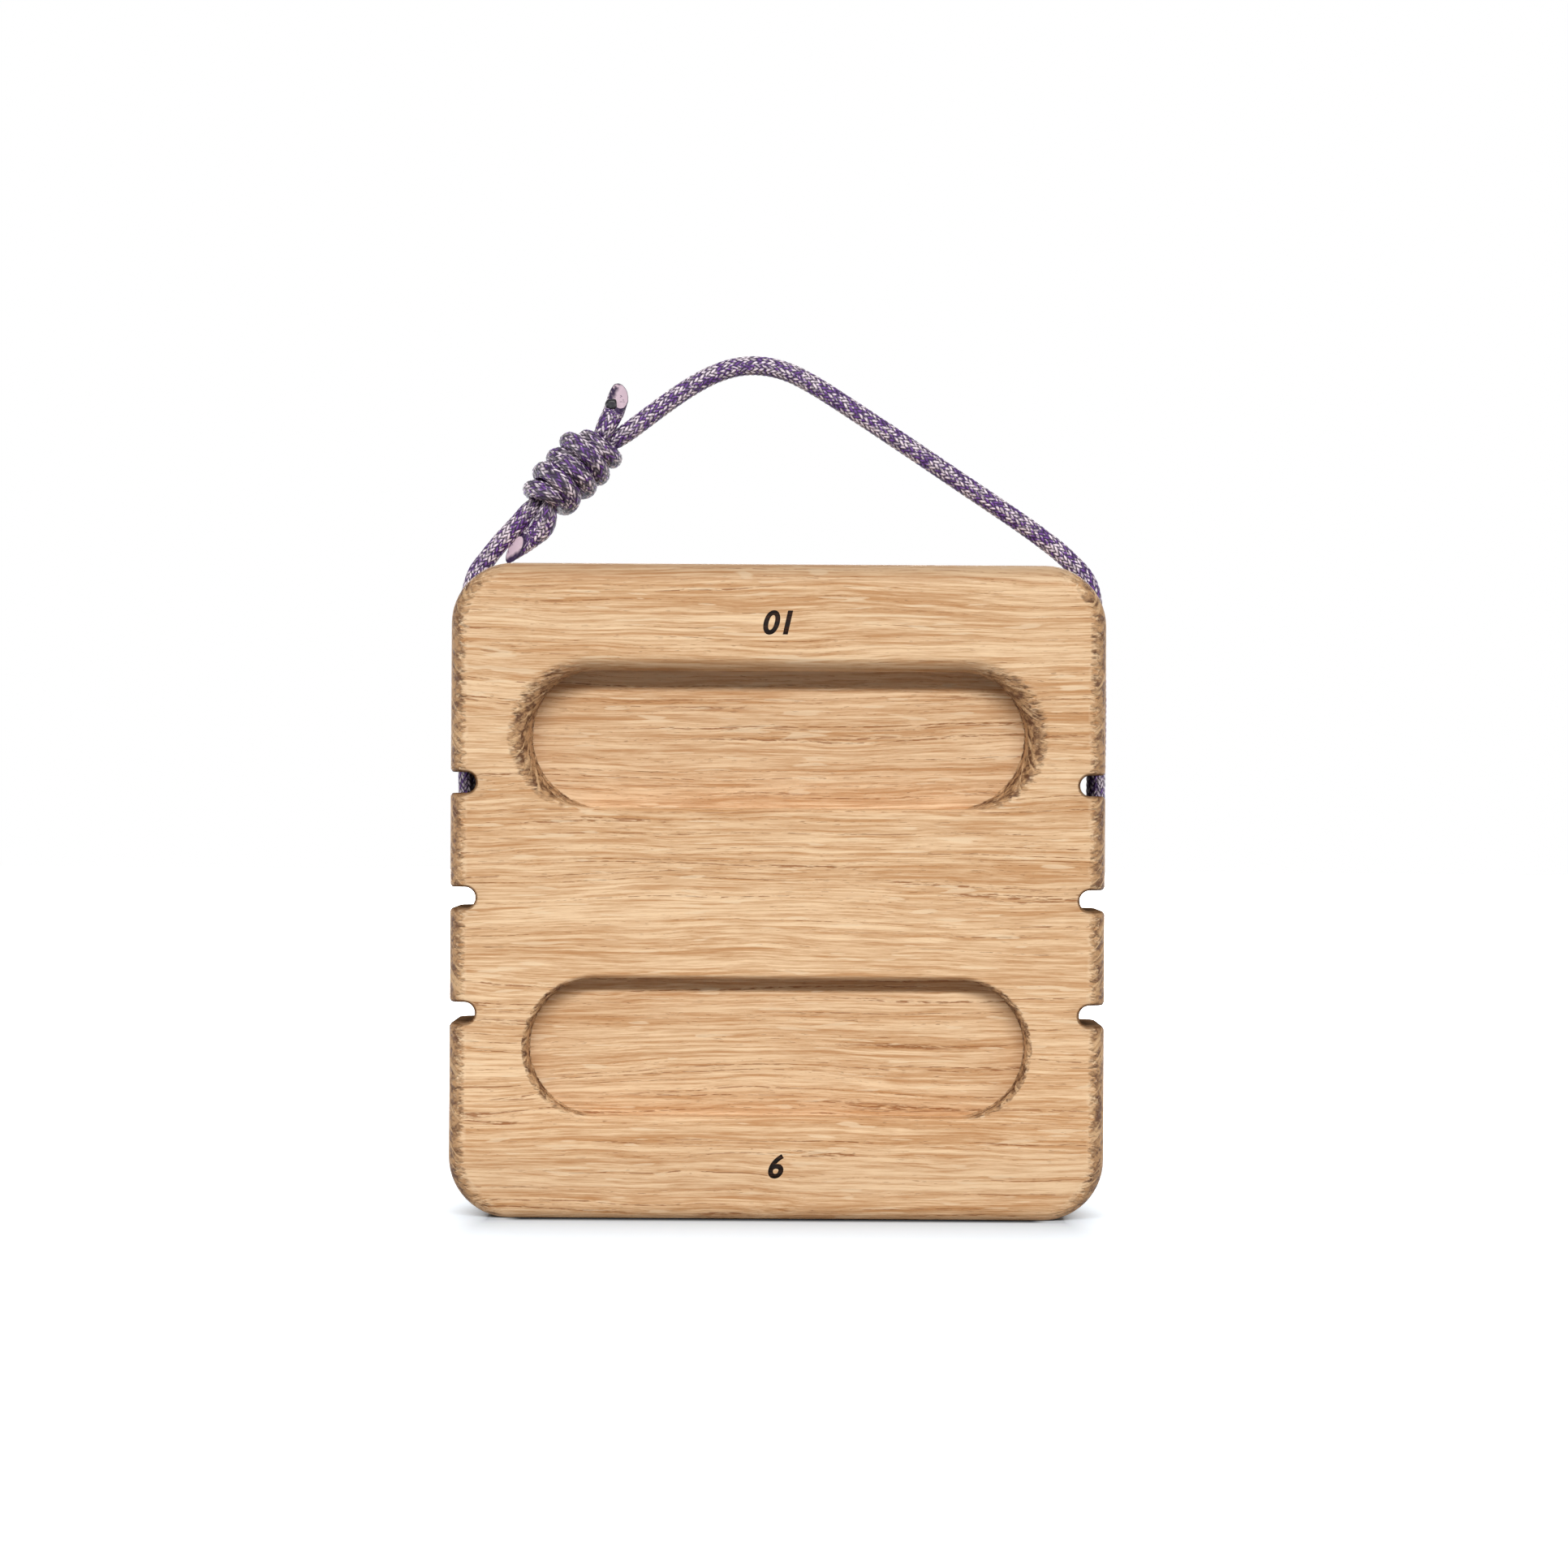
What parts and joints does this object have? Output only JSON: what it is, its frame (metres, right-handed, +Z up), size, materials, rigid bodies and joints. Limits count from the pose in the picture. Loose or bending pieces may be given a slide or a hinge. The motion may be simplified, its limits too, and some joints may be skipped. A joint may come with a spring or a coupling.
{
  "type": "portable hangboard",
  "caption": "Pocket hangboard: an oak block with a deep incut and a shallow finger pocket, three pairs of side slots and a knotted cord loop to hang it by.",
  "frame": {"origin": "middle of the block's bottom face, which stands on the surface", "axes": "+Z up, toward the loop; -Y out of the pockets; +X to the right as the pockets are seen"},
  "size_m": [0.1536, 0.0461, 0.2007],
  "materials": {
    "oak": "satin",
    "cord": "matte"
  },
  "bodies": {
    "block": {"oak_block": "oak", "cord_in_block": "cord"},
    "loop": {"cord_left_strand": "cord", "cord_right_strand": "cord", "knot_left_half": "cord", "knot_right_half": "cord"}
  },
  "joints": [
    {"name": "loop_swing", "type": "hinge", "parent": "block", "child": "loop", "pos_m": [0, 0.0205, 0.0698], "axis": [-1, 0, 0], "range_deg": [0, 120]}
  ]
}
